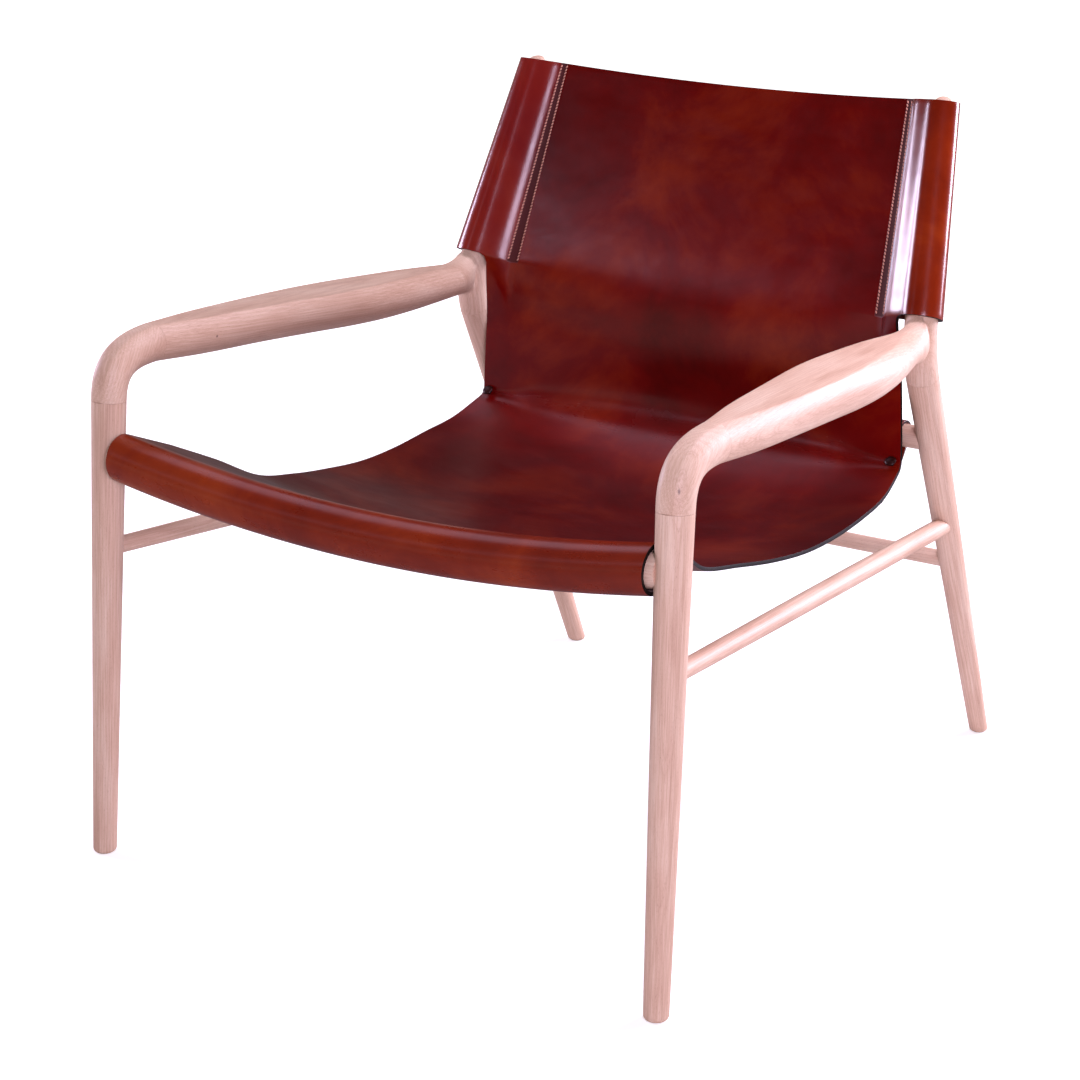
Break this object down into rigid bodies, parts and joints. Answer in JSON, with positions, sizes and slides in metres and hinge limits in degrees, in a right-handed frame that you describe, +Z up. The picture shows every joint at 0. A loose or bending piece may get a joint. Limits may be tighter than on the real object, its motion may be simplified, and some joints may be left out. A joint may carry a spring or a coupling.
{
  "type": "sling lounge chair",
  "caption": "Low lounge chair with a round oak frame, leaf-shaped armrests and a leather sling for seat and back.",
  "frame": {"origin": "on the floor, in the middle of the rectangle that the chair stands in", "axes": "+Z up, -Y towards the front, +X to the sitter's left"},
  "size_m": [0.6994, 0.8366, 0.75],
  "materials": {
    "oak": "pale, soaped, straight grain",
    "saddle_leather": "glossy saddle leather with black painted edges",
    "rivet": "dark red, domed"
  },
  "bodies": {
    "root": {"front_leg_left": "oak", "front_leg_right": "oak", "corner_block_left": "oak", "corner_block_right": "oak", "armrest_left": "oak", "armrest_right": "oak", "knuckle_block_left": "oak", "knuckle_block_right": "oak", "rear_leg_left": "oak", "rear_leg_right": "oak", "back_post_left": "oak", "back_post_right": "oak", "side_stretcher_left": "oak", "side_stretcher_right": "oak", "dowel_leg_corner_left": "oak", "dowel_leg_corner_right": "oak", "dowel_corner_arm_left": "oak", "dowel_corner_arm_right": "oak", "dowel_arm_knuckle_left": "oak", "dowel_arm_knuckle_right": "oak", "dowel_leg_knuckle_left": "oak", "dowel_leg_knuckle_right": "oak", "dowel_post_knuckle_left": "oak", "dowel_post_knuckle_right": "oak", "front_rail": "oak", "middle_rail": "oak", "rear_stretcher": "oak", "sling": "saddle_leather", "lumbar_strap": "saddle_leather", "rivet_left": "rivet", "rivet_right": "rivet"}
  },
  "joints": []
}
